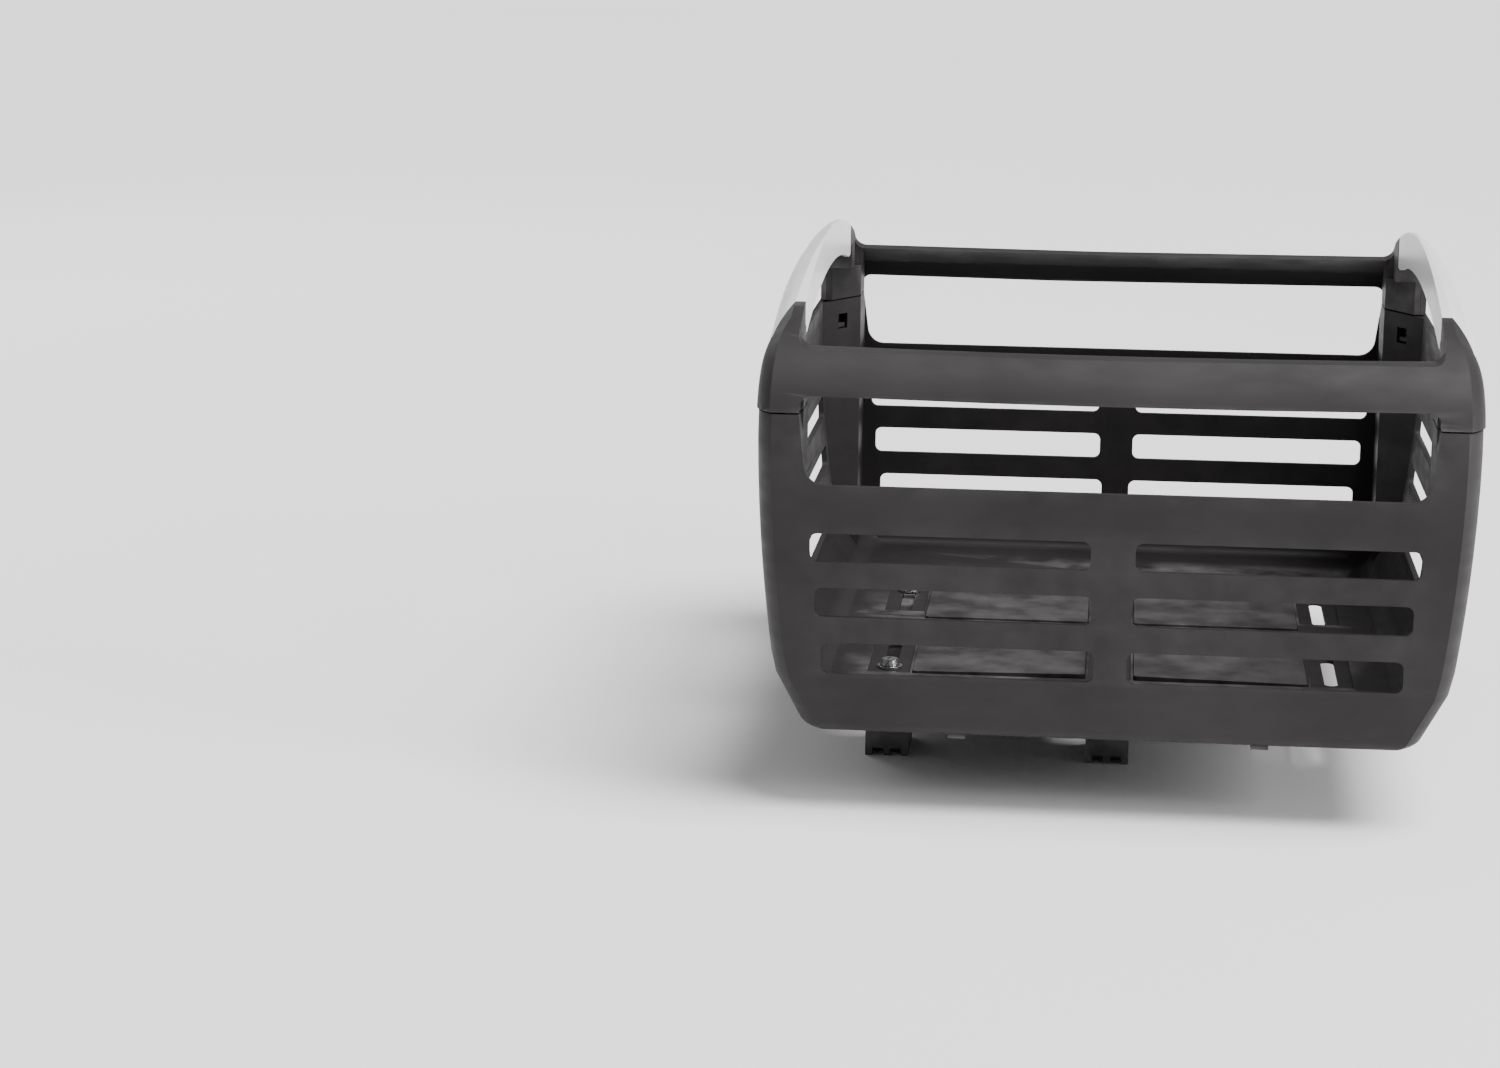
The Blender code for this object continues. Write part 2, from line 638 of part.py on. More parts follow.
def frame_interior():
    """The middle of the frame: wide below the horns, and above that only between the rails' beads."""
    along = (POST_SIDE - POST_END).normalized()
    corner_points = [tuple(POST_END - along * 30), tuple(POST_SIDE), (POST_INNER, 230.0)]
    right = [(x, -y) for x, y in reversed(corner_points)] + corner_points
    outline = right + [(-x, y) for x, y in reversed(right)]
    lower = prism("cut_middle", outline, "Z", *above_ground(SEAM - 10, BEAD_BOTTOM))
    bead_low = TUB_BASE + BEAD_BOTTOM - 1
    upper = box("cut_upper", (-BEAD_HALF, -230, bead_low), (BEAD_HALF, 230, TUB_BASE + 260))
    for cut, skin in ((lower, WALL), (upper, BEAD_DEPTH)):
        combine(cut, [band(f"room_{cut.name}", skin=skin, depth=BAND_DEPTH + 8)], "INTERSECT")
    return [lower, upper]


def rail_openings():
    """The cuts below and above the rails."""
    lower = sagging(RAIL_BOTTOM, UNDER_RAIL_HALF)
    lower += [(-UNDER_RAIL_HALF, TUB_BASE + SEAM - 5), (UNDER_RAIL_HALF, TUB_BASE + SEAM - 5)]
    upper = sagging(RAIL_TOP, OVER_RAIL_HALF)
    upper += [(-OVER_RAIL_HALF, TUB_BASE + 260), (OVER_RAIL_HALF, TUB_BASE + 260)]
    middle = [0] * (len(lower) - 4)
    return [
        *through_long_walls("cut_under_rails", rounded(lower, [5, *middle, 5, 0, 0])),
        prism("cut_over_rails", rounded(upper, [6, *middle, 6, 0, 0], 4), "Y", -230, 230),
    ]


def between_posts():
    """The space between the horns behind the rails, down to where the posts' slanting faces end."""
    half_x, half_y = OVER_RAIL_HALF - 0.25, POST_SIDE.y - 0.2
    low, high = above_ground(BEAD_BOTTOM - 0.8, 260)
    return box("cut_between_posts", (-half_x, -half_y, low), (half_x, half_y, high))


def make_rim_frame(screw_holes):
    frame = show(band("rim_frame"), "charcoal")
    combine(frame, frame_interior())
    below = box("cut_below_seam", (-200, -230, 0), (200, 230, TUB_BASE + SEAM + SEAM_GAP))
    between_horns = box(
        "cut_between_horns",
        (-HORN_TIP_X, -HORN_TIP_Y, TUB_BASE + SEAM),
        (HORN_TIP_X, HORN_TIP_Y, TUB_BASE + 260),
    )
    rooms = []
    for side in (-1, 1):
        room = cover_space(f"cut_cover_room_{side}", side, GAP)
        combine(room, [grip_core(f"beam_{side}", side, GAP)])
        rooms.append(room)
    cavities = [frame_cavity(x_side, y_side) for x_side in (-1, 1) for y_side in (-1, 1)]
    openings = [between_horns, between_posts(), *rail_openings(), hand_hole(raise_by=1.0)]
    cuts = [below, *openings, *rooms, *cavities]
    combine(frame, cuts + screw_holes)
    for x_side in (-1, 1):
        for y_side in (-1, 1):
            combine(frame, tongue(x_side, y_side), "UNION")


# ---------------------------------------------------------------- floor plates

def make_floor_plates():
    """Four smooth plates; the edge that faces a long wall slants, which leaves a wedge-shaped gap."""
    low, high = above_ground(FLOOR_TOP - PLATE_SINK + GAP, PLATE_TOP)
    for x_side, end in ((-1, "rear"), (1, "front")):
        for y_side, hand in ((-1, "right"), (1, "left")):
            inner, outer = PLATE_X
            near, far = PLATE_Y
            corners = [(inner, near), (outer, near), (outer, far), (inner, far - PLATE_WEDGE)]
            outline = rounded([(x_side * x, y_side * y) for x, y in corners], 1.5, 2)
            prism(f"floor_plate_{end}_{hand}", outline, "Z", low, high, "dark_grey")


# ---------------------------------------------------------------- clamps

def clamp_profile(low, high, side):
    """(y, z) outline of a jaw."""
    inner, outer = side * JAW_Y[0], side * JAW_Y[1]
    return rounded([(inner, low), (outer, low), (outer, high), (inner, high)], JAW_CORNER, 2)


def make_clamp(x, side, name):
    """A clamp with its bolt on the vertical axis at (x, y); the other pieces are set out from it."""
    y = side * BOLT_Y
    at = (x, y)
    floor = TUB_BASE + FLOOR_TOP - STATION_SINK
    sides = (x - JAW_HALF, x + JAW_HALF)
    hub = (x, y, JAW_SPLIT)

    upper_profile = clamp_profile(JAW_SPLIT + GAP, TUB_BASE - GAP, side)
    upper = prism(f"upper_jaw_{name}", upper_profile, "X", *sides, "black", hub)
    key_low, key_high = sorted(side * edge for edge in KEY_Y)
    key = box(f"key_{name}", (x - KEY_HALF, key_low, TUB_BASE - 3), (x + KEY_HALF, key_high, floor - GAP))
    combine(upper, [key], "UNION")

    lower_profile = clamp_profile(0.0, JAW_SPLIT - GAP, side)
    lower = prism(f"lower_jaw_{name}", lower_profile, "X", *sides, "black", hub)
    notches = []
    for x_side in (-1, 1):
        low_x, high_x = sorted(x + x_side * edge for edge in NOTCH_X)
        low_y, high_y = sorted(side * edge for edge in (JAW_Y[1] - NOTCH_LENGTH, JAW_Y[1] + 1))
        notches.append(box(f"cut_notch_{name}_{x_side}", (low_x, low_y, -1), (high_x, high_y, NOTCH_TOP)))
    pocket = cylinder(f"cut_pocket_{name}", NUT_POCKET, -1, NUT_HIGH + GAP, at=at, sides=6)
    combine(lower, [*notches, pocket])

    tube = cylinder(
        f"cut_tube_{name}", TUBE_RADIUS, x - 20, x + 20, axis="X", at=(side * TUBE_Y, JAW_SPLIT), sides=32
    )
    shaft = cylinder(f"cut_shaft_{name}", BOLT_HOLE, -5, 60, at=at)
    for jaw in (upper, lower):
        combine(jaw, [tube, shaft])

    nut = cylinder(
        f"clamp_nut_{name}", NUT_RADIUS, NUT_LOW, NUT_HIGH, at=at, look="steel", sides=6, origin=hub
    )
    thread = cylinder(f"cut_thread_{name}", BOLT_RADIUS + GAP, -5, 60, at=at)
    combine(nut, [thread])

    washer_low = floor + GAP
    washer = cylinder(
        f"clamp_washer_{name}", WASHER_RADIUS, washer_low, washer_low + WASHER_HEIGHT,
        at=at, look="steel", sides=32, origin=hub,
    )
    combine(washer, [thread])

    head_low = washer_low + WASHER_HEIGHT + GAP
    bolt = cylinder(
        f"clamp_bolt_{name}", HEAD_RADIUS, head_low, head_low + HEAD_HEIGHT, at=at, look="steel",
        sides=32, top_radius=HEAD_RADIUS * 0.8, origin=hub,
    )
    shank = cylinder(f"shank_{name}", BOLT_RADIUS, BOLT_END, head_low + 1, at=at)
    combine(bolt, [shank], "UNION")
    socket = cylinder(f"cut_socket_{name}", 2.3, head_low + 1.2, head_low + HEAD_HEIGHT + 1, at=at, sides=6)
    combine(bolt, [socket])


# ---------------------------------------------------------------- main

def clear_scene():
    for obj in list(bpy.data.objects):
        bpy.data.objects.remove(obj)


def main():
    clear_scene()
    bpy.context.scene.collection.children.link(PARTS)
    bpy.context.scene.collection.children.link(CUTTERS)
    CUTTERS.hide_render = True
    make_tub()
    make_cover(1, "handle_cover_front")
    make_cover(-1, "handle_cover_rear")
    screw_holes = []
    for side in (-1, 1):
        for y in (-SCREW_Y, SCREW_Y):
            screw_holes += make_handle_screw(side, y)
    make_rim_frame(screw_holes)
    make_floor_plates()
    for end, x in CLAMP_X.items():
        for side, hand in ((-1, "right"), (1, "left")):
            make_clamp(x, side, f"{end}_{hand}")


main()
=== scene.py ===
"""The rack basket as it looks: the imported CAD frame, with finer skins for the moulded pieces,
materials, a plain studio and the camera. Written in millimetres and turned into metres when meshes
are made. X runs fore and aft, Y across the bicycle, Z up."""

import json
import math

import bmesh
import bpy
from mathutils import Matrix, Vector

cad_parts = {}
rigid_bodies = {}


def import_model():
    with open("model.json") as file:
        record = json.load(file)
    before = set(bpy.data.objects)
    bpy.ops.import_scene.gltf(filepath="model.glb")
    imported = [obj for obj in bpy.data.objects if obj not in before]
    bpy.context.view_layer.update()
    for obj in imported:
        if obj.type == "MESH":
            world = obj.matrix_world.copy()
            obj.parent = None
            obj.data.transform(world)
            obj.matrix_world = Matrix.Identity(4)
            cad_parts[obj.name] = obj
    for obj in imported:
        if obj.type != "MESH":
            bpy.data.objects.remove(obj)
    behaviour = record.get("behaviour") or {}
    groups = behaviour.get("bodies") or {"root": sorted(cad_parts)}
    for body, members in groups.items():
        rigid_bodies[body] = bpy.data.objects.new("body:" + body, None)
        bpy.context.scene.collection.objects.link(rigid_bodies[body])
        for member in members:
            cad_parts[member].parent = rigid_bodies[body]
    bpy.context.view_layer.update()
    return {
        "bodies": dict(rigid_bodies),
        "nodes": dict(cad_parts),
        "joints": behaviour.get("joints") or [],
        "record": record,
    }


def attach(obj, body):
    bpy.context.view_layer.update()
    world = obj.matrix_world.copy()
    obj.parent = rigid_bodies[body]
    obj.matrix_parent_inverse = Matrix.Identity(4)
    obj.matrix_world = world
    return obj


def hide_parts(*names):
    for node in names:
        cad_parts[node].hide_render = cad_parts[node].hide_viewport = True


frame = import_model()

MM = 0.001
GAP = 0.3  # clearance between touching pieces
PAST_X, PAST_Y, PAST_TOP = 200.0, 230.0, 260.0  # cuts that run clear of the basket end here

# Outer body. Heights in this block are measured from the tub's bottom edge.
TUB_BASE = 39.5  # the tub's bottom edge above the ground, set by the clamp feet
HALF_DEPTH = 201.5  # half of the width across the bicycle, at the spring of the rim's arch
SPRING = 130.0  # where the wall starts to curve inwards
CROWN = 209.0  # top of the hand grips
CROWN_RADIUS = 600.0
WALL_BARREL = 5.5 / SPRING**2  # the long walls draw in by 5.5 at the bottom edge
END_HALF = 164.6  # half length at the corners, at the fullest height
END_FULLEST = 145.0
END_BARREL = 0.00059
CHAMFER_TOP = 28.0  # below this height the end walls slope in more steeply
BOTTOM_HALF = 141.8
END_BULGE = 2.2  # how far an end wall bows out at mid width
CORNER_RADIUS = 20.0
CORNER_START = math.radians(40)  # the corner curve starts at this angle, which leaves a crease
CORNER_STEPS = 12
SEAM = 150.0
SEAM_GAP = 0.8  # the dark line between tub and rim frame
WALL = 3.0
FLOOR_TOP = 3.0

# Rim frame, in the same heights
GRIP_NARROWING = 10.3  # the crease moves this far in between the seam and the crown
GRIP_RADIUS_GAIN = 7.0
GRIP_START_LOSS = math.radians(10)
BAND_DEPTH = 50.0
RAIL_BOTTOM = 158.3
RAIL_TOP = 177.0
OVER_RAIL_HALF = 147.8  # half length of the opening above a rail, between the horns
UNDER_RAIL_HALF = 145.0
BEAD_HALF = 143.2  # half length of the stiffening bead inside a rail
OPENING_FROM = 188.0  # the openings beside the rails are cut from here outwards in y
POST_INNER = 143.8
HORN_TIP_X = 148.0
HORN_TIP_Y = 137.0
HORN_TIP_WIDTH = 5.0  # the blunt end of each horn
GRIP_UNDERSIDE = 190.0  # at mid width
GRIP_UNDERSIDE_DROP = 0.8 / 1000.0  # it falls by this times y squared
GRIP_UNDERSIDE_END = 177.2  # and runs level at this height near its ends
HOLE_HALF = 142.0
COVER_SKIN = 2.6
COVER_END = 0.35  # arch angles at which the covers' and the beams' blanks start
CORE_END = 0.62
END_SLANT = 1.85  # the covers' slanting ends: this far in y for each step in x
CAVITY_TOP = 168.0
RAIL_SAG = 1.2
BEAD_DEPTH = 8.0
BEAD_BOTTOM = 168.5

# Corner posts: the slanting inner face in plan, for the corner at +X +Y
POST_END = Vector((161.5, 137.0))
POST_SIDE = Vector((POST_INNER, 163.0))
POST_WALL = 2.5
WINDOW_LOW, WINDOW_HIGH, WINDOW_HALF = 133.8, 142.2, 4.0
BLADE_START, BLADE_END = 5.4, 7.2  # how far behind the window's face each snap tongue hangs
NIB_START, NIB_MARGIN, NIB_HEIGHT = 1.2, 0.8, 2.2  # its nib, which catches the window's lower edge

# Slots: (bottom, top, outer end, mullion half width) of each row in the long walls
SIDE_ROWS = ((82.0, 95.5, 139.2, 10.2), (55.8, 69.8, 136.6, 9.2), (28.4, 43.4, 133.4, 7.6))
END_ROWS = ((87.0, 99.3), (60.0, 71.8), (30.5, 43.5))
END_SLOT_INNER, END_SLOT_OUTER = 10.0, 132.5
SLOT_CORNER = 3.6
BAND_TOP = 118.0
BAND_TOP_HALF = 141.0  # half length of the opening above the band, at its bottom
LUG_X, LUG_Y = (66.0, 74.0), (187.0, 193.0)  # small feet under the long walls

# Floor stations
STATION_X = (-108.5, 0.0, 108.5)
STATION_HALF = 10.4
STATION_Y = (33.0, 95.0)
STATION_SINK = 1.0
SLOT_Y = (36.0, 88.0)
SLOT_HALF = 3.4
PLATE_X = (12.0, 96.4)
PLATE_Y = (18.0, 95.0)
PLATE_SINK = 1.2

# Screws that hold each hand grip cover from below
SCREW_Y = 100.0
SCREW_X = 157.0
SCREW_SHANK, SCREW_HEAD = 1.25, 3.0
BOSS_RADIUS = 3.7
HOLE_CLEARANCE = 0.4
SCREW_LOW = 183.2
WEB_THICKNESS = 2.0  # what each screw's head bears on starts this far above the screw's foot
BOSS_LOW, BOSS_TOP = 187.3, 193.0

# Finer shape of the visible skins
BASE_RADIUS = 4.0  # rounding of the tub's bottom edge
FLOOR_FILLET = 6.0  # between floor and walls, inside
BASE_STEPS = 6
WALL_LEVELS = (13.0, 20.0, 25.5, 36.5, 49.5, 65.5, 76.5, 91.0, 107.0, 124.0, 138.0, SEAM + 4)
SKIN_BEVEL = 0.7
BEVEL_ANGLE = math.radians(27)

# Camera: where the photographer stood, in millimetres, and how the camera was turned
CAMERA_PLACE = Vector((-1.3, -1790.5, 450.3 + TUB_BASE))
CAMERA_YAW, CAMERA_PITCH, CAMERA_ROLL = math.radians(5.939), math.radians(12.562), math.radians(0.544)
LENS = 85.31

# Plastics: the darker and the lighter of two cloudy shades, and the colour of the painted highlight
# along exposed edges
CHARCOAL = ((0.0150, 0.0130, 0.0140), (0.0225, 0.0200, 0.0212), (0.095, 0.088, 0.092))
PLATE_GREY = ((0.023, 0.021, 0.022), (0.030, 0.0275, 0.0285), (0.07, 0.066, 0.068))
BLACK = ((0.050, 0.047, 0.049), (0.070, 0.066, 0.068), (0.14, 0.135, 0.138))

WORKSHOP = bpy.data.collections.new("workshop")
bpy.context.scene.collection.children.link(WORKSHOP)


# ---------------------------------------------------------------- outer body

def shoulder_radius():
    rise = CROWN - SPRING
    top = 2 * CROWN_RADIUS * rise - rise**2 - HALF_DEPTH**2
    return top / (2 * (CROWN_RADIUS - HALF_DEPTH))


SHOULDER_RADIUS = shoulder_radius()
SHOULDER_Y = HALF_DEPTH - SHOULDER_RADIUS
CROWN_CENTRE = CROWN - CROWN_RADIUS
JOIN = math.atan2(SPRING - CROWN_CENTRE, SHOULDER_Y)  # angle where shoulder and crown arcs meet


def arch_point(angle, depth):
    """(y, z) on the rim's arch, `depth` below its surface. The angle runs from 0 at -Y to pi at +Y."""
    out = Vector((-math.cos(angle), math.sin(angle)))
    if angle < JOIN:
        return Vector((-SHOULDER_Y, SPRING)) + out * (SHOULDER_RADIUS - depth)
    if angle > math.pi - JOIN:
        return Vector((SHOULDER_Y, SPRING)) + out * (SHOULDER_RADIUS - depth)
    return Vector((0, CROWN_CENTRE)) + out * (CROWN_RADIUS - depth)


def arch_angles(low=0.0, high=math.pi, shoulder_steps=20, crown_steps=24):
    """Angles along the arch, closer together where it turns sharply."""
    shoulder = [JOIN * i / shoulder_steps for i in range(shoulder_steps)]
    crown = [JOIN + (math.pi - 2 * JOIN) * i / crown_steps for i in range(crown_steps + 1)]
    angles = shoulder + crown + [math.pi - a for a in reversed(shoulder)]
    return [low] + [a for a in angles if low + 1e-4 < a < high - 1e-4] + [high]


def bulge(y):
    return END_BULGE * (1 - (y / HALF_DEPTH) ** 2)


def corner(crease, radius, start, skin=0.0):
    """(x, depth) along the corner curve, from the crease to the end wall, `skin` inside the surface."""
    centre_x = crease - radius * math.sin(start)
    centre_depth = radius * math.cos(start)
    begin = math.acos((centre_depth - skin) / (radius - skin))
    turns = [begin + (math.pi / 2 - begin) * i / CORNER_STEPS for i in range(CORNER_STEPS + 1)]
    return [
        (centre_x + (radius - skin) * math.sin(t), centre_depth - (radius - skin) * math.cos(t))
        for t in turns
    ]


def rim_corner(angle, skin=0.0):
    rise = (1 - abs(math.cos(angle))) ** 2
    return corner(
        END_HALF - CORNER_RADIUS * (1 - math.sin(CORNER_START)) + 1.3 - GRIP_NARROWING * rise,
        CORNER_RADIUS + GRIP_RADIUS_GAIN * rise,
        CORNER_START - GRIP_START_LOSS * rise,
        skin,
    )


def end_half(height):
    """Half length of the tub at its corners."""
    if height >= CHAMFER_TOP:
        return END_HALF - END_BARREL * (END_FULLEST - min(height, END_FULLEST)) ** 2
    at_chamfer = END_HALF - END_BARREL * (END_FULLEST - CHAMFER_TOP) ** 2
    return BOTTOM_HALF + (at_chamfer - BOTTOM_HALF) * height / CHAMFER_TOP


def half_depth(height):
    if height > SPRING:
        return SHOULDER_Y + math.sqrt(SHOULDER_RADIUS**2 - (height - SPRING) ** 2)
    return HALF_DEPTH - WALL_BARREL * (SPRING - height) ** 2


def tub_ring(height, inset=0.0):
    """The tub's outline in plan at one height, anticlockwise from the corner at +X -Y."""
    crease = end_half(height) - CORNER_RADIUS * (1 - math.sin(CORNER_START))
    side = [(x, depth - half_depth(height)) for x, depth in corner(crease, CORNER_RADIUS, CORNER_START)]
    side += [(end_half(height), y) for y in (-162.0, -142.0, -118.0, -90.0, -62.0, -34.0)]
    right = side + [(end_half(height), 0.0)] + [(x, -y) for x, y in reversed(side)]
    right = [(x - inset + bulge(y), y - math.copysign(inset, y) * (y != 0)) for x, y in right]
    return right + [(-x, -y) for x, y in right]


# ---------------------------------------------------------------- modelling helpers

def place(name, mesh):
    """A working object for a mesh whose points are in millimetres."""
    mesh.transform(Matrix.Scale(MM, 4))
    obj = bpy.data.objects.new(name, mesh)
    WORKSHOP.objects.link(obj)
    return obj


def mesh_of(name, bm):
    bmesh.ops.recalc_face_normals(bm, faces=bm.faces)
    if bm.calc_volume(signed=True) < 0:
        bmesh.ops.reverse_faces(bm, faces=bm.faces)
    mesh = bpy.data.meshes.new(name)
    bm.to_mesh(mesh)
    bm.free()
    return mesh


def box(name, low, high, turn=None):
    bm = bmesh.new()
    bmesh.ops.create_cube(bm, size=1)
    low, high = Vector(low), Vector(high)
    matrix = Matrix.Translation((low + high) / 2) @ Matrix.Diagonal((*(high - low), 1))
    bm.transform((turn or Matrix()) @ matrix)
    return place(name, mesh_of(name, bm))


def sorted_box(one, other):
    """The low and the high corner of a box given by any two opposite corners."""
    pairs = [sorted(pair) for pair in zip(one, other)]
    return tuple(p[0] for p in pairs), tuple(p[1] for p in pairs)


def cylinder(name, radius, low, high, at):
    """An upright cylinder from `low` to `high` at the (x, y) place `at`."""
    bm = bmesh.new()
    bmesh.ops.create_cone(
        bm, cap_ends=True, segments=24, radius1=radius, radius2=radius, depth=high - low
    )
    bm.transform(Matrix.Translation((0, 0, (low + high) / 2)))
    bm.transform(Matrix.Translation((*at, 0)))
    return place(name, mesh_of(name, bm))


def rounded(corners, radius, steps=3):
    """A closed outline with its corners rounded; `radius` is one number, or one for each corner."""
    radii = radius if isinstance(radius, (list, tuple)) else [radius] * len(corners)
    outline = []
    for i, here in enumerate(corners):
        here = Vector(here)
        before = (Vector(corners[i - 1]) - here).normalized()
        after = (Vector(corners[(i + 1) % len(corners)]) - here).normalized()
        if radii[i] == 0:
            outline.append(tuple(here))
            continue
        half = before.angle(after) / 2
        centre = here + (before + after).normalized() * radii[i] / math.sin(half)
        start = (here + before * radii[i] / math.tan(half) - centre).normalized()
        end = (here + after * radii[i] / math.tan(half) - centre).normalized()
        for j in range(steps + 1):
            outline.append(tuple(centre + start.slerp(end, j / steps) * radii[i]))
    return outline


def prism(name, outline, axis, low, high):
    """A flat outline given a thickness: (y, z) along X, (x, z) along Y or (x, y) along Z."""
    curve = bpy.data.curves.new(name, "CURVE")
    curve.dimensions = "2D"
    curve.fill_mode = "BOTH"
    curve.extrude = (high - low) / 2
    spline = curve.splines.new("POLY")
    spline.points.add(len(outline) - 1)
    spline.use_cyclic_u = True
    for point, (x, y) in zip(spline.points, outline):
        point.co = (x, y, 0, 1)
    holder = bpy.data.objects.new(name, curve)
    bpy.context.scene.collection.objects.link(holder)
    bpy.context.view_layer.update()
    mesh = bpy.data.meshes.new_from_object(holder.evaluated_get(bpy.context.evaluated_depsgraph_get()))
    bpy.data.objects.remove(holder)
    bpy.data.curves.remove(curve)
    bm = bmesh.new()
    bm.from_mesh(mesh)
    bpy.data.meshes.remove(mesh)
    bmesh.ops.remove_doubles(bm, verts=bm.verts, dist=0.001)
    middle = (low + high) / 2
    turns = {
        "X": Matrix(((0, 0, 1, middle), (1, 0, 0, 0), (0, 1, 0, 0), (0, 0, 0, 1))),
        "Y": Matrix(((1, 0, 0, 0), (0, 0, -1, middle), (0, 1, 0, 0), (0, 0, 0, 1))),
        "Z": Matrix.Translation((0, 0, middle)),
    }
    bm.transform(turns[axis])
    return place(name, mesh_of(name, bm))


def loft(name, rings, raise_by=0.0):
    """A skin through rings of equal length, with flat ends."""
    bm = bmesh.new()
    rows = [[bm.verts.new((x, y, z + raise_by)) for x, y, z in ring] for ring in rings]
    for lower, upper in zip(rows, rows[1:]):
        for i, start in enumerate(lower):
            j = (i + 1) % len(lower)
            bm.faces.new((start, lower[j], upper[j], upper[i]))
    bm.faces.new(rows[0])
    bm.faces.new(rows[-1])
    bmesh.ops.triangulate(bm, faces=bm.faces)
    return place(name, mesh_of(name, bm))


def combine(obj, others, operation="DIFFERENCE"):
    for other in others:
        modifier = obj.modifiers.new(other.name, "BOOLEAN")
        modifier.operation = operation
        modifier.object = other
        modifier.solver = "EXACT"


def above_ground(low, high):
    """Heights measured from the tub's bottom edge, as heights above the ground."""
    return low + TUB_BASE, high + TUB_BASE


# ---------------------------------------------------------------- tub

def side_slots():
    for row, (bottom, top, far, near) in enumerate(SIDE_ROWS):
        low, high = above_ground(bottom, top)
        for side in (-1, 1):
            inner, outer = side * near, side * far
            corners = [(inner, low), (outer, low), (outer, high), (inner, high)]
            outline = rounded(corners, SLOT_CORNER, 6)
            yield prism(f"cut_side_slot_{row}_{side}", outline, "Y", -PAST_Y, PAST_Y)


def end_slots():
    for row, (bottom, top) in enumerate(END_ROWS):
        low, high = above_ground(bottom, top)
        for side in (-1, 1):
            inner, outer = side * END_SLOT_INNER, side * END_SLOT_OUTER
            corners = [(inner, low), (outer, low), (outer, high), (inner, high)]
            yield prism(f"cut_end_slot_{row}_{side}", rounded(corners, SLOT_CORNER, 6), "X", -180, 180)


def through_long_walls(name, outline):
    """The same cut through both long walls, which leaves the posts' inner faces whole."""
    return [
        prism(name + "_right", outline, "Y", -PAST_Y, -OPENING_FROM),
        prism(name + "_left", outline, "Y", OPENING_FROM, PAST_Y),
    ]


def side_openings():
    """The gaps between the long walls' bands and the rails, wider upwards and open at the seam."""
    low, high = above_ground(BAND_TOP, SEAM)
    above = high + 20
    half = UNDER_RAIL_HALF + 20 * (UNDER_RAIL_HALF - BAND_TOP_HALF) / (SEAM - BAND_TOP)
    corners = [(-BAND_TOP_HALF, low), (BAND_TOP_HALF, low), (half, above), (-half, above)]
    return through_long_walls("cut_side_opening", rounded(corners, [9, 9, 0, 0], 8))


def floor_cuts():
    floor = TUB_BASE + FLOOR_TOP
    for x in STATION_X:
        for side in (-1, 1):
            y_low, y_high = sorted(side * y for y in STATION_Y)
            yield box(
                f"cut_station_{x:.0f}_{side}",
                (x - STATION_HALF, y_low, floor - STATION_SINK),
                (x + STATION_HALF, y_high, floor + 5),
            )
            low, high = sorted(side * y for y in SLOT_Y)
            corners = [
                (x - SLOT_HALF, low), (x + SLOT_HALF, low), (x + SLOT_HALF, high), (x - SLOT_HALF, high)
            ]
            ends = rounded(corners, SLOT_HALF - 0.05, 4)
            yield prism(f"cut_bolt_slot_{x:.0f}_{side}", ends, "Z", TUB_BASE - 5, floor + 5)
    for x_side in (-1, 1):
        for y_side in (-1, 1):
            x_low, x_high = sorted(x_side * x for x in PLATE_X)
            y_low, y_high = sorted(y_side * y for y in PLATE_Y)
            yield box(
                f"cut_plate_seat_{x_side}_{y_side}",
                (x_low - GAP, y_low - GAP, floor - PLATE_SINK),
                (x_high + GAP, y_high + GAP, floor + 5),
            )


def post_walls(low, high):
    """The slanting and the straight inner wall of each corner post, as one bent plate in plan."""
    along = (POST_SIDE - POST_END).normalized()
    out = Vector((-along.y, along.x)) * -POST_WALL
    start = POST_END - along * 6
    inner = [start, POST_SIDE, Vector((POST_INNER, HALF_DEPTH))]
    turn = POST_SIDE + Vector((POST_WALL, 1.2))
    outer = [Vector((POST_INNER + POST_WALL, HALF_DEPTH)), turn, start + out]
    outline = [tuple(p) for p in inner + outer]
    for x_side in (-1, 1):
        for y_side in (-1, 1):
            points = [(x_side * x, y_side * y) for x, y in outline]
            yield prism(f"post_{x_side}_{y_side}", points, "Z", low, high)


def diagonal_box(name, x_side, y_side, across, normal, heights):
    """A box set square to a corner post's slanting face: across it, out from it, and in height."""
    along = (POST_SIDE - POST_END).normalized()
    middle = (POST_SIDE + POST_END) / 2
    turned = Matrix.Rotation(math.atan2(along.y, along.x), 4, "Z")
    turn = Matrix.Diagonal((x_side, y_side, 1, 1)) @ Matrix.Translation((*middle, 0)) @ turned
    low = (across[0], -normal[1], heights[0])
    high = (across[1], -normal[0], heights[1])
    return box(name, low, high, turn=turn)


def lugs():
    """Small feet under the long walls."""
    low, high = above_ground(-2.0, 1.5)
    made = []
    for x_side in (-1, 1):
        for y_side in (-1, 1):
            inner = (x_side * LUG_X[0], y_side * LUG_Y[0], low)
            outer = (x_side * LUG_X[1], y_side * LUG_Y[1], high)
            made.append(box(f"lug_{x_side}_{y_side}", *sorted_box(inner, outer)))
    return made


def rounded_base(radius, edge_inset, base):
    """(height, inset) pairs round a bottom edge."""
    turns = [math.pi / 2 * i / BASE_STEPS for i in range(BASE_STEPS + 1)]
    return [(base + radius * (1 - math.cos(t)), edge_inset + radius * (1 - math.sin(t))) for t in turns]


def tub_body(name, levels):
    """The tub's outline lofted through (height, inset) pairs."""
    rings = [[(x, y, h) for x, y in tub_ring(h, inset)] for h, inset in levels]
    return loft(name, rings, raise_by=TUB_BASE)


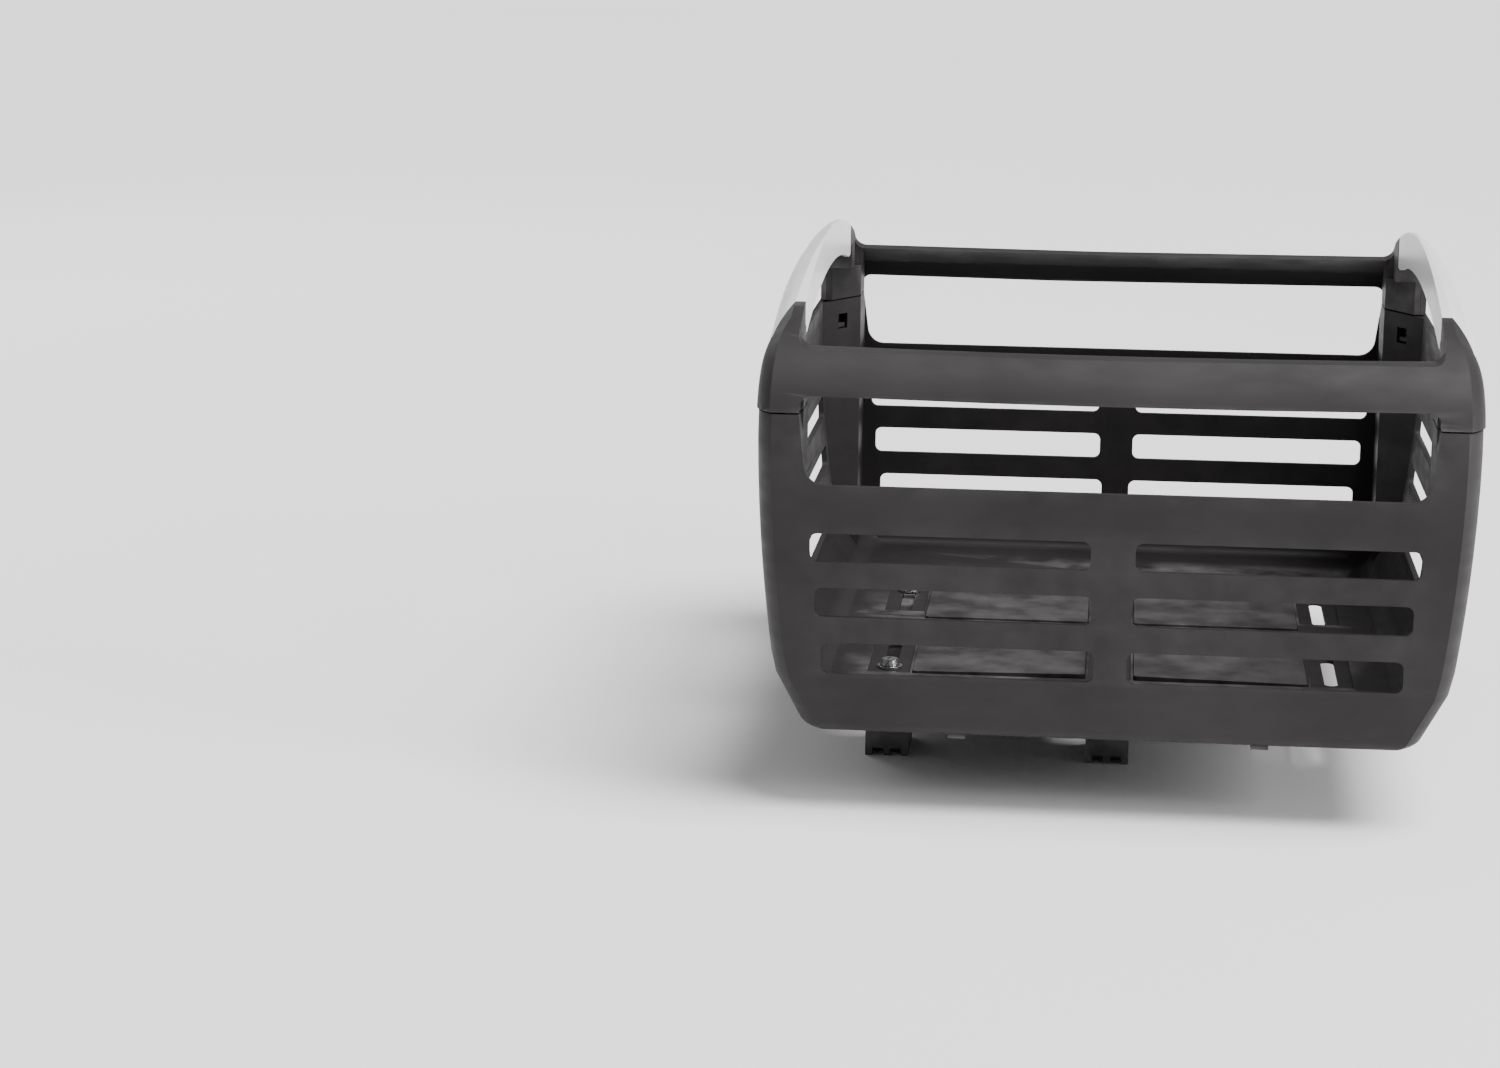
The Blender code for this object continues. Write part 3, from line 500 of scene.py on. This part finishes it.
def tub_blank():
    outside = rounded_base(BASE_RADIUS, 0.0, 0.0) + [(h, 0.0) for h in WALL_LEVELS]
    inside = rounded_base(FLOOR_FILLET, WALL, FLOOR_TOP)
    inside += [(h, WALL) for h in (*WALL_LEVELS, SEAM + 8)]
    limit = [(h, 1.0) for h in (FLOOR_TOP - 1.5, *WALL_LEVELS)]
    tub = tub_body("tub_blank", outside)
    combine(tub, [tub_body("cut_inside", inside)])
    posts = list(post_walls(*above_ground(1.5, SEAM + 2)))
    post_limit = tub_body("post_limit", limit)
    for post in posts:
        combine(post, [post_limit], "INTERSECT")
    combine(tub, posts + lugs(), "UNION")
    windows = [
        diagonal_box(
            f"cut_window_{x_side}_{y_side}", x_side, y_side,
            (-WINDOW_HALF, WINDOW_HALF), (-2, POST_WALL + 2), above_ground(WINDOW_LOW, WINDOW_HIGH),
        )
        for x_side in (-1, 1)
        for y_side in (-1, 1)
    ]
    seam = TUB_BASE + SEAM
    lid = box("cut_above_seam", (-PAST_X, -PAST_Y, seam), (PAST_X, PAST_Y, seam + 20))
    combine(tub, [lid, *side_openings(), *side_slots(), *end_slots(), *floor_cuts(), *windows])
    return tub


# ---------------------------------------------------------------- rim frame and hand grip covers

def band(name, skin=0.0, depth=BAND_DEPTH, low=0.0, high=math.pi):
    """The solid band that follows the arch across the whole basket, `skin` inside its outer surface."""
    rings = []
    for angle in arch_angles(low, high):
        y_here = arch_point(angle, 0).x
        curve = rim_corner(angle, skin)
        crease, end = curve[0][0], curve[-1][0]
        bow = bulge(y_here)
        half = [(x + bow * (x - crease) / (end - crease), d) for x, d in curve]
        half.append((half[-1][0], depth))
        across = half + [(-x, d) for x, d in reversed(half)]
        rings.append([(x, *arch_point(angle, d)) for x, d in across])
    return loft(name, rings, raise_by=TUB_BASE)


def grip_underside(y):
    return max(GRIP_UNDERSIDE - GRIP_UNDERSIDE_DROP * y**2, GRIP_UNDERSIDE_END)


def hand_hole(raise_by=0.0, steps=30):
    """The opening under both hand grips, as one cut from end to end."""
    ys = [HOLE_HALF * (2 * i / steps - 1) for i in range(steps + 1)]
    arc = [(y, TUB_BASE + grip_underside(y) + raise_by) for y in ys]
    outline = arc + [(HOLE_HALF, TUB_BASE + SEAM - 5), (-HOLE_HALF, TUB_BASE + SEAM - 5)]
    return prism("cut_hand_hole", outline, "X", -PAST_X, PAST_X)


def cover_space(name, side, grow):
    """The space a hand grip cover fills, before it is trimmed to the band's outer surface."""
    ys = [HALF_DEPTH * (i / 16 - 1) for i in range(33)]
    arc = [(y, TUB_BASE + grip_underside(y) - grow) for y in ys]
    above = arc + [(HALF_DEPTH, TUB_BASE + PAST_TOP), (-HALF_DEPTH, TUB_BASE + PAST_TOP)]
    space = prism(name, above, "X", *sorted((side * 140, side * PAST_X)))
    blunt = HORN_TIP_X + HORN_TIP_WIDTH
    slant_grow = grow * math.hypot(1, END_SLANT)
    turn_x = blunt - (slant_grow - grow) / END_SLANT
    half = [
        (side * (HORN_TIP_X - grow), HORN_TIP_Y + grow),
        (side * turn_x, HORN_TIP_Y + grow),
        (side * PAST_X, HORN_TIP_Y + END_SLANT * (PAST_X - blunt) + slant_grow),
    ]
    outline = half + [(x, -y) for x, y in reversed(half)]
    plan = prism(name + "_plan", outline, "Z", *above_ground(140, PAST_TOP + 10))
    combine(space, [plan], "INTERSECT")
    return space


def grip_core(name, side, shrink):
    """What is inside a cover's skin: open below and at both ends."""
    core = band(name, skin=COVER_SKIN + shrink, low=CORE_END, high=math.pi - CORE_END)
    inner = HORN_TIP_X + COVER_SKIN + shrink
    keep = box(name + "_side", *sorted_box((side * inner, -PAST_Y, 0), (side * PAST_X, PAST_Y, 400)))
    combine(core, [keep], "INTERSECT")
    return core


def cover_blank(side, name):
    cover = band(name + "_blank", low=COVER_END, high=math.pi - COVER_END)
    combine(cover, [cover_space(f"space_{name}", side, 0.0)], "INTERSECT")
    combine(cover, [grip_core(f"core_{name}", side, 0.0)])
    low, high = above_ground(BOSS_LOW, BOSS_TOP)
    bosses = [
        cylinder(f"boss_{name}_{y:.0f}", BOSS_RADIUS, low, high, (side * SCREW_X, y))
        for y in (-SCREW_Y, SCREW_Y)
    ]
    combine(cover, bosses, "UNION")
    return cover


def screw_holes():
    """The stepped holes that the screws and the covers' bosses need in the beams."""
    web_low, web_high = above_ground(SCREW_LOW + WEB_THICKNESS, BOSS_LOW - GAP)
    cuts = []
    for side in (-1, 1):
        for y in (-SCREW_Y, SCREW_Y):
            at = (side * SCREW_X, y)
            name = f"cut_screw_{side}_{y:.0f}"
            steps = (
                ("_head", SCREW_HEAD, web_low - 10, web_low),
                ("_shank", SCREW_SHANK, web_low - 10, web_high + 10),
                ("_boss", BOSS_RADIUS, web_high, web_high + 20),
            )
            for ending, radius, low, high in steps:
                cuts.append(cylinder(name + ending, radius + HOLE_CLEARANCE, low, high, at))
    return cuts


def frame_cavity(x_side, y_side):
    """The hollow inside a corner post of the rim frame, open at the seam."""
    along = (POST_SIDE - POST_END).normalized()
    start = POST_END - along * 3 - Vector((-along.y, along.x)) * POST_WALL
    turn = POST_SIDE + Vector((POST_WALL, 1.2))
    plan = [tuple(start), tuple(turn), (turn.x, PAST_Y), (PAST_Y, PAST_Y), (PAST_Y, start.y)]
    outline = [(x_side * x, y_side * y) for x, y in plan]
    cavity = prism(f"cut_post_{x_side}_{y_side}", outline, "Z", *above_ground(SEAM - 5, CAVITY_TOP))
    room = band(f"post_room_{x_side}_{y_side}", skin=WALL, depth=BAND_DEPTH + 8)
    combine(cavity, [room], "INTERSECT")
    return cavity


def tongue(x_side, y_side):
    """A snap tongue that hangs into the tub's post, with its nib in the latch window."""
    name = f"tongue_{x_side}_{y_side}"
    blade_heights = above_ground(WINDOW_LOW - 3, SEAM + 2)
    root_heights = above_ground(SEAM + SEAM_GAP + 0.5, SEAM + 5)
    nib_heights = above_ground(WINDOW_LOW + NIB_MARGIN, WINDOW_LOW + NIB_MARGIN + NIB_HEIGHT)
    nib_half = WINDOW_HALF - NIB_MARGIN
    blade = ((-4.5, 4.5), (BLADE_START, BLADE_END), blade_heights)
    root = ((-5.5, 5.5), (1.0, BLADE_END + 0.4), root_heights)
    nib = ((-nib_half, nib_half), (NIB_START, BLADE_START + 0.5), nib_heights)
    return [
        diagonal_box(name + ending, x_side, y_side, *sizes)
        for ending, sizes in (("", blade), ("_root", root), ("_nib", nib))
    ]


def sagging(height, reach, steps=24):
    """(x, z) points of a rail's edge, a little lower in the middle."""
    xs = [reach * (1 - 2 * i / steps) for i in range(steps + 1)]
    return [(x, TUB_BASE + height - RAIL_SAG * (1 - (x / reach) ** 2)) for x in xs]


def frame_interior():
    """The middle of the frame: wide below the horns, and above that only between the rails' beads."""
    along = (POST_SIDE - POST_END).normalized()
    corner_points = [tuple(POST_END - along * 30), tuple(POST_SIDE), (POST_INNER, PAST_Y)]
    right = [(x, -y) for x, y in reversed(corner_points)] + corner_points
    outline = right + [(-x, y) for x, y in reversed(right)]
    lower = prism("cut_middle", outline, "Z", *above_ground(SEAM - 10, BEAD_BOTTOM))
    bead_low = TUB_BASE + BEAD_BOTTOM - 1
    bead_high = TUB_BASE + PAST_TOP
    upper = box("cut_upper", (-BEAD_HALF, -PAST_Y, bead_low), (BEAD_HALF, PAST_Y, bead_high))
    for cut, skin in ((lower, WALL), (upper, BEAD_DEPTH)):
        combine(cut, [band(f"room_{cut.name}", skin=skin, depth=BAND_DEPTH + 8)], "INTERSECT")
    return [lower, upper]


def rail_openings():
    """The cuts below and above the rails."""
    lower = sagging(RAIL_BOTTOM, UNDER_RAIL_HALF)
    lower += [(-UNDER_RAIL_HALF, TUB_BASE + SEAM - 5), (UNDER_RAIL_HALF, TUB_BASE + SEAM - 5)]
    upper = sagging(RAIL_TOP, OVER_RAIL_HALF)
    upper += [(-OVER_RAIL_HALF, TUB_BASE + PAST_TOP), (OVER_RAIL_HALF, TUB_BASE + PAST_TOP)]
    middle = [0] * (len(lower) - 4)
    return [
        *through_long_walls("cut_under_rails", rounded(lower, [5, *middle, 5, 0, 0], 6)),
        prism("cut_over_rails", rounded(upper, [6, *middle, 6, 0, 0], 8), "Y", -PAST_Y, PAST_Y),
    ]


def between_posts():
    """The space between the horns behind the rails, down to where the posts' slanting faces end."""
    half_x, half_y = OVER_RAIL_HALF - 0.25, POST_SIDE.y - 0.2
    low, high = above_ground(BEAD_BOTTOM - 0.8, PAST_TOP)
    return box("cut_between_posts", (-half_x, -half_y, low), (half_x, half_y, high))


def rim_blank():
    frame = band("rim_blank")
    combine(frame, frame_interior())
    seam, top = above_ground(SEAM, PAST_TOP)
    below = box("cut_below_seam", (-PAST_X, -PAST_Y, 0), (PAST_X, PAST_Y, seam + SEAM_GAP))
    between_horns = box(
        "cut_between_horns", (-HORN_TIP_X, -HORN_TIP_Y, seam), (HORN_TIP_X, HORN_TIP_Y, top)
    )
    rooms = []
    for side in (-1, 1):
        room = cover_space(f"cut_cover_room_{side}", side, GAP)
        combine(room, [grip_core(f"beam_{side}", side, GAP)])
        rooms.append(room)
    cavities = [frame_cavity(x_side, y_side) for x_side in (-1, 1) for y_side in (-1, 1)]
    openings = [between_horns, between_posts(), *rail_openings(), hand_hole(raise_by=1.0)]
    cuts = [below, *openings, *rooms, *cavities]
    combine(frame, cuts + screw_holes())
    for x_side in (-1, 1):
        for y_side in (-1, 1):
            combine(frame, tongue(x_side, y_side), "UNION")
    return frame


# ---------------------------------------------------------------- materials

def new_material(name, roughness, metallic=0.0):
    made = bpy.data.materials.new(name)
    made.use_nodes = True
    shader = made.node_tree.nodes["Principled BSDF"]
    shader.inputs["Roughness"].default_value = roughness
    shader.inputs["Metallic"].default_value = metallic
    return made, made.node_tree, shader


def noise(tree, scale, detail=3.0, stretch=(1, 1, 1)):
    """Noise in the object's own space, in features per metre."""
    place_node = tree.nodes.new("ShaderNodeTexCoord")
    mapping = tree.nodes.new("ShaderNodeMapping")
    mapping.inputs["Scale"].default_value = stretch
    texture = tree.nodes.new("ShaderNodeTexNoise")
    texture.inputs["Scale"].default_value = scale
    texture.inputs["Detail"].default_value = detail
    tree.links.new(place_node.outputs["Object"], mapping.inputs["Vector"])
    tree.links.new(mapping.outputs["Vector"], texture.inputs["Vector"])
    return texture.outputs["Fac"]


def spread(tree, value, low, high, to_low=0.0, to_high=1.0):
    """A value between two limits, stretched to another range."""
    node = tree.nodes.new("ShaderNodeMapRange")
    node.inputs["From Min"].default_value = low
    node.inputs["From Max"].default_value = high
    node.inputs["To Min"].default_value = to_low
    node.inputs["To Max"].default_value = to_high
    tree.links.new(value, node.inputs["Value"])
    return node.outputs["Result"]


def blend_colours(tree, share, first, second):
    node = tree.nodes.new("ShaderNodeMix")
    node.data_type = "RGBA"
    tree.links.new(share, node.inputs["Factor"])
    for socket, colour in ((node.inputs[6], first), (node.inputs[7], second)):
        if isinstance(colour, tuple):
            socket.default_value = (*colour, 1)
        else:
            tree.links.new(colour, socket)
    return node.outputs[2]


def bump(tree, height, strength, depth_mm, under=None):
    node = tree.nodes.new("ShaderNodeBump")
    node.inputs["Strength"].default_value = strength
    node.inputs["Distance"].default_value = depth_mm * MM
    tree.links.new(height, node.inputs["Height"])
    if under:
        tree.links.new(under, node.inputs["Normal"])
    return node.outputs["Normal"]


def painted_edge_highlight(tree, start=0.52, end=0.60):
    """How exposed an edge is, broken up by noise: the mask for a painted highlight along the edges."""
    geometry = tree.nodes.new("ShaderNodeNewGeometry")
    exposed = spread(tree, geometry.outputs["Pointiness"], start, end)
    patchy = spread(tree, noise(tree, 60.0, 5.0), 0.35, 0.7)
    node = tree.nodes.new("ShaderNodeMath")
    node.operation = "MULTIPLY"
    tree.links.new(exposed, node.inputs[0])
    tree.links.new(patchy, node.inputs[1])
    return node.outputs[0]


def moulded_plastic(name, shades, roughness, grain=0.25):
    """Grained polypropylene: cloudy colour, dull patches, fine pitting, and a painted highlight that
    makes exposed edges paler.
    """
    dark, light, highlight_colour = shades
    made, tree, shader = new_material(name, roughness)
    clouds = spread(tree, noise(tree, 14.0, 4.0), 0.35, 0.65)
    colour = blend_colours(tree, clouds, dark, light)
    # Painted highlight: exposed edges are painted in the paler third colour.
    colour = blend_colours(tree, painted_edge_highlight(tree), colour, highlight_colour)
    tree.links.new(colour, shader.inputs["Base Color"])
    dull = spread(tree, noise(tree, 45.0, 6.0, (1, 1, 3)), 0.3, 0.7, roughness - 0.07, roughness + 0.08)
    tree.links.new(dull, shader.inputs["Roughness"])
    fine = bump(tree, noise(tree, 2600.0, 2.0), grain, 0.12)
    flow = bump(tree, noise(tree, 120.0, 2.0), 0.12, 0.25, fine)
    tree.links.new(flow, shader.inputs["Normal"])
    shader.inputs["Specular IOR Level"].default_value = 0.24
    return made


def satin_cover():
    """Light grey satin paint on plastic, with a faint orange peel."""
    made, tree, shader = new_material("silver_grey_satin", 0.36)
    clouds = spread(tree, noise(tree, 10.0, 3.0), 0.35, 0.65)
    colour = blend_colours(tree, clouds, (0.78, 0.785, 0.79), (0.84, 0.845, 0.85))
    # Painted highlight: exposed edges are painted in a paler grey.
    colour = blend_colours(tree, painted_edge_highlight(tree), colour, (0.88, 0.88, 0.885))
    tree.links.new(colour, shader.inputs["Base Color"])
    dull = spread(tree, noise(tree, 70.0, 5.0), 0.3, 0.7, 0.31, 0.42)
    tree.links.new(dull, shader.inputs["Roughness"])
    tree.links.new(bump(tree, noise(tree, 420.0, 2.0), 0.10, 0.05), shader.inputs["Normal"])
    shader.inputs["Coat Weight"].default_value = 0.25
    shader.inputs["Coat Roughness"].default_value = 0.25
    return made


def bright_steel():
    """Zinc-plated steel: fine turned lines, slightly cloudy."""
    made, tree, shader = new_material("bright_steel", 0.25, metallic=1.0)
    clouds = spread(tree, noise(tree, 300.0, 4.0), 0.3, 0.7)
    colour = blend_colours(tree, clouds, (0.55, 0.55, 0.56), (0.74, 0.74, 0.74))
    tree.links.new(colour, shader.inputs["Base Color"])
    dull = spread(tree, noise(tree, 900.0, 4.0), 0.3, 0.7, 0.18, 0.38)
    tree.links.new(dull, shader.inputs["Roughness"])
    tree.links.new(bump(tree, noise(tree, 500.0, 3.0, (1, 1, 12)), 0.2, 0.05), shader.inputs["Normal"])
    return made


def pale_floor():
    made, tree, shader = new_material("pale_floor", 0.85)
    shade = spread(tree, noise(tree, 1.5, 2.0), 0.3, 0.7)
    colour = blend_colours(tree, shade, (0.90, 0.90, 0.90), (0.93, 0.93, 0.93))
    tree.links.new(colour, shader.inputs["Base Color"])
    return made


# ---------------------------------------------------------------- pieces

def soften_edges(obj, width, segments=3):
    bevel = obj.modifiers.new("soft_edges", "BEVEL")
    bevel.width = width * MM
    bevel.segments = segments
    bevel.limit_method = "ANGLE"
    bevel.angle_limit = BEVEL_ANGLE
    bevel.use_clamp_overlap = True
    bevel.miter_outer = "MITER_ARC"
    normals = obj.modifiers.new("even_shading", "WEIGHTED_NORMAL")
    normals.keep_sharp = True


def finished(name, blank, node, look):
    """The blank's evaluated mesh as a visible piece that stands for a CAD node."""
    graph = bpy.context.evaluated_depsgraph_get()
    bm = bmesh.new()
    mesh = bpy.data.meshes.new_from_object(blank.evaluated_get(graph))
    bm.from_mesh(mesh)
    bmesh.ops.remove_doubles(bm, verts=bm.verts, dist=0.03 * MM)
    bmesh.ops.dissolve_limit(bm, angle_limit=math.radians(0.6), verts=bm.verts, edges=bm.edges)
    for face in bm.faces:
        face.smooth = True
    bm.to_mesh(mesh)
    bm.free()
    mesh.materials.clear()
    mesh.materials.append(look)
    piece = bpy.data.objects.new(name, mesh)
    bpy.context.scene.collection.objects.link(piece)
    soften_edges(piece, SKIN_BEVEL)
    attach(piece, "basket")
    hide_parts(node)
    return piece


def clear_workshop():
    for obj in list(WORKSHOP.objects):
        bpy.data.objects.remove(obj)
    bpy.data.collections.remove(WORKSHOP)


def dress(node, look, bevel):
    """A CAD node kept as it is, with softened edges and its material."""
    obj = frame["nodes"][node]
    obj.data.materials.clear()
    obj.data.materials.append(look)
    for polygon in obj.data.polygons:
        polygon.use_smooth = True
    tidy = obj.modifiers.new("flat_faces", "DECIMATE")
    tidy.decimate_type = "DISSOLVE"
    tidy.angle_limit = math.radians(1)
    soften_edges(obj, bevel, 2)


def make_pieces():
    charcoal = moulded_plastic("charcoal_plastic", CHARCOAL, 0.54)
    smooth_grey = moulded_plastic("plate_plastic", PLATE_GREY, 0.40, 0.1)
    black = moulded_plastic("black_plastic", BLACK, 0.5, 0.15)
    silver = satin_cover()
    steel = bright_steel()
    finished("tub_skin", tub_blank(), "tub", charcoal)
    finished("rim_skin", rim_blank(), "rim_frame", charcoal)
    for side, end in ((1, "front"), (-1, "rear")):
        cover = f"handle_cover_{end}"
        finished(cover + "_skin", cover_blank(side, cover), cover, silver)
    clear_workshop()
    looks = {"floor_plate": (smooth_grey, 0.4), "upper_jaw": (black, 0.5), "lower_jaw": (black, 0.5)}
    for node in frame["nodes"]:
        if node.startswith(("tub", "rim_frame", "handle_cover")):
            continue
        look, bevel = looks.get(node.rsplit("_", 2)[0], (steel, 0.25))
        dress(node, look, bevel)


# ---------------------------------------------------------------- camera, light and floor

def make_camera():
    forward = Vector((
        -math.sin(CAMERA_YAW) * math.cos(CAMERA_PITCH),
        math.cos(CAMERA_YAW) * math.cos(CAMERA_PITCH),
        -math.sin(CAMERA_PITCH),
    ))
    level = Vector((math.cos(CAMERA_YAW), math.sin(CAMERA_YAW), 0))
    above = level.cross(forward)
    right = level * math.cos(CAMERA_ROLL) + above * math.sin(CAMERA_ROLL)
    up = above * math.cos(CAMERA_ROLL) - level * math.sin(CAMERA_ROLL)
    data = bpy.data.cameras.new("camera")
    data.sensor_width = 36
    data.lens = LENS
    camera = bpy.data.objects.new("camera", data)
    turned = Matrix((right, up, -forward)).transposed().to_4x4()
    camera.matrix_world = Matrix.Translation(CAMERA_PLACE * MM) @ turned
    bpy.context.scene.collection.objects.link(camera)
    bpy.context.scene.camera = camera


def add_light(name, place_at, target, size, watts):
    data = bpy.data.lights.new(name, "AREA")
    data.shape = "RECTANGLE"
    data.size, data.size_y = size
    data.energy = watts
    lamp = bpy.data.objects.new(name, data)
    lamp.location = place_at
    lamp.rotation_mode = "QUATERNION"
    lamp.rotation_quaternion = (Vector(target) - Vector(place_at)).to_track_quat("-Z", "Y")
    bpy.context.scene.collection.objects.link(lamp)


def add_sun(name, towards, soft_degrees, strength):
    """Even light over the whole floor, from the direction `towards`."""
    data = bpy.data.lights.new(name, "SUN")
    data.energy = strength
    data.angle = math.radians(soft_degrees)
    lamp = bpy.data.objects.new(name, data)
    lamp.rotation_mode = "QUATERNION"
    lamp.rotation_quaternion = Vector(towards).to_track_quat("Z", "Y")
    bpy.context.scene.collection.objects.link(lamp)


def make_studio():
    mesh = bpy.data.meshes.new("floor")
    bm = bmesh.new()
    bmesh.ops.create_grid(bm, x_segments=1, y_segments=1, size=12)
    bm.to_mesh(mesh)
    bm.free()
    mesh.materials.append(pale_floor())
    floor = bpy.data.objects.new("floor", mesh)
    bpy.context.scene.collection.objects.link(floor)
    world = bpy.data.worlds.new("studio")
    world.use_nodes = True
    world.node_tree.nodes["Background"].inputs["Color"].default_value = (1.0, 1.0, 1.0, 1)
    world.node_tree.nodes["Background"].inputs["Strength"].default_value = 0.34
    bpy.context.scene.world = world
    add_sun("skylight", (0.40, -0.16, 1.0), 40, 5.6)
    middle = (0, 0, 0.15)
    add_light("key", (2.0, -1.0, 0.8), middle, (0.7, 0.7), 38)
    add_light("rim", (-1.3, 1.4, 1.1), middle, (0.8, 0.8), 6)


make_camera()
make_pieces()
make_studio()
bpy.context.view_layer.update()
